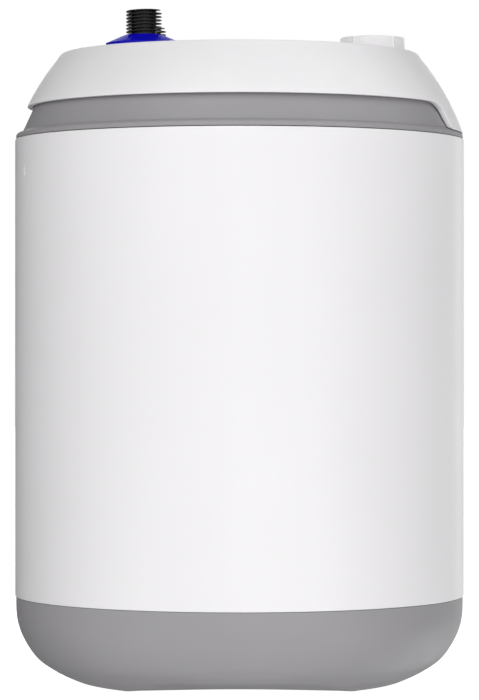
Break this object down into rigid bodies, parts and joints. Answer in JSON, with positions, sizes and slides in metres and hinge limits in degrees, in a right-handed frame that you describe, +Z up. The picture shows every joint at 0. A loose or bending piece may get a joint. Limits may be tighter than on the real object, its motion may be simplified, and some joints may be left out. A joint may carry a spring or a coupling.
{
  "type": "storage water heater",
  "caption": "Small round under-sink storage water heater: white jacket, grey bowl base and band, domed cap with nose, control knob and threaded water connections.",
  "frame": {"origin": "centre of the plane the four feet stand on", "axes": "+Z up, +X to the front, where the knob and the nose are; the cold inlet is on the -Y side of the rear"},
  "size_m": [0.27, 0.27, 0.398],
  "materials": {
    "white_enamel": "smooth white enamel, satin gloss",
    "white_plastic": "fine-grained white moulding",
    "grey_plastic": "fine-grained mid-grey moulding",
    "black_plastic": "black moulding, slight gloss",
    "blue_plastic": "saturated blue moulding",
    "red_plastic": "saturated red moulding",
    "black_rubber": "matt black rubber",
    "tank_enamel": "glassy blue-green enamel on steel",
    "zinc_steel": "bright zinc plate",
    "copper": "drawn copper",
    "magnesium": "cast magnesium alloy",
    "foam": "moulded bead foam",
    "natural_plastic": "uncoloured moulding",
    "brown_wire": "cable insulation",
    "blue_wire": "cable insulation",
    "green_wire": "cable insulation"
  },
  "bodies": {
    "housing": {"jacket": "white_enamel", "base_cap": "grey_plastic", "top_ring": "grey_plastic", "top_cap": "white_plastic", "cable_grommet": "black_rubber", "thermostat_body": "black_plastic", "thermostat_bracket": "zinc_steel", "thermostat_screw_front": "zinc_steel", "thermostat_screw_rear": "zinc_steel", "cap_screw_left": "zinc_steel", "cap_screw_right": "zinc_steel", "bracket_screw": "zinc_steel", "earth_screw": "zinc_steel", "cold_stub": "black_plastic", "hot_stub": "black_plastic", "cold_collar": "blue_plastic", "hot_collar": "red_plastic", "cold_seal": "black_rubber", "hot_seal": "black_rubber", "cold_dip_tube": "natural_plastic", "hot_draw_tube": "natural_plastic", "tank_lower_shell": "tank_enamel", "tank_upper_shell": "tank_enamel", "flange_gasket": "black_rubber", "flange_plate": "zinc_steel", "heating_element": "copper", "thermowell": "copper", "capillary_bulb": "copper", "anode_rod": "magnesium", "anode_nut": "zinc_steel", "thermal_cutout": "black_plastic", "terminal_block": "natural_plastic", "line_wire": "brown_wire", "neutral_wire": "blue_wire", "earth_wire": "green_wire", "insulation_lower": "foam", "insulation_upper": "foam", "hanger_nut_left": "white_enamel", "hanger_nut_right": "white_enamel", "base_washer": "zinc_steel", "base_screw": "zinc_steel", "flange_bolt_1": "zinc_steel", "flange_bolt_2": "zinc_steel", "flange_bolt_3": "zinc_steel", "flange_bolt_4": "zinc_steel", "flange_bolt_5": "zinc_steel", "flange_bolt_6": "zinc_steel"},
    "knob": {"control_knob": "white_plastic", "thermostat_shaft": "zinc_steel"},
    "reset": {"reset_button": "red_plastic"}
  },
  "joints": [
    {"name": "knob_turn", "type": "hinge", "parent": "housing", "child": "knob", "pos_m": [0.0802, 0, 0.38], "axis": [0, 0, -1], "range_deg": [0, 270]},
    {"name": "reset_press", "type": "slide", "parent": "housing", "child": "reset", "axis": [0, 0, -1], "range_m": [0, 0.0015]}
  ]
}
